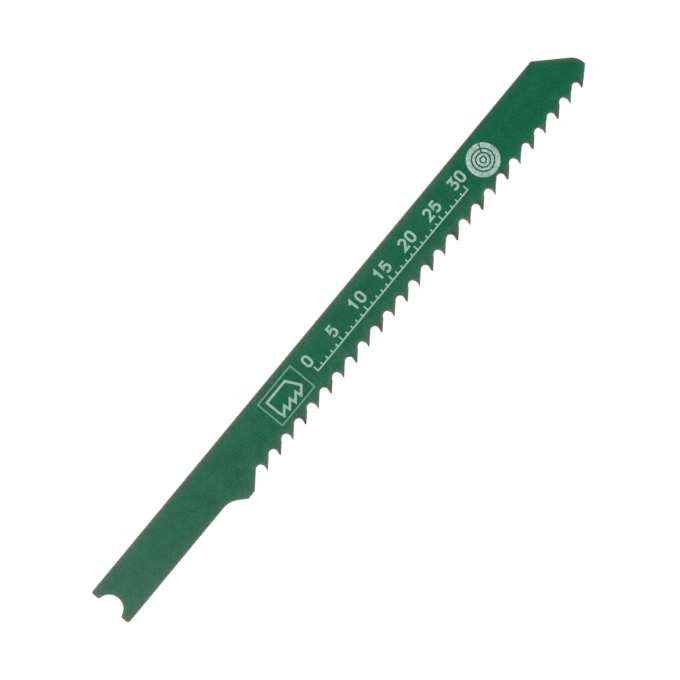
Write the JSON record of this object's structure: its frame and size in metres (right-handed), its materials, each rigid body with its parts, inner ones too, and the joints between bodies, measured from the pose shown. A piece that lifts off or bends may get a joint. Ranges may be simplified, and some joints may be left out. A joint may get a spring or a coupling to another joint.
{
  "type": "jigsaw blade",
  "caption": "Green-lacquered jigsaw blade: flat notched shank, sloped point and milled, side-set saw teeth along one edge.",
  "frame": {"origin": "centre of the clamp notch in the shank's end, halfway through the blade's thickness", "axes": "+X along the blade from the shank to the point, +Y from the teeth to the straight spine, +Z out of the printed face"},
  "size_m": [0.0921, 0.0077, 0.0014],
  "materials": {
    "green_lacquer": "satin green lacquer on steel, worn dark at the milled edges and tooth tips",
    "print_ink": "thin pale green-white printing ink, slightly worn"
  },
  "bodies": {
    "root": {"saw_blade": "green_lacquer"}
  },
  "joints": []
}
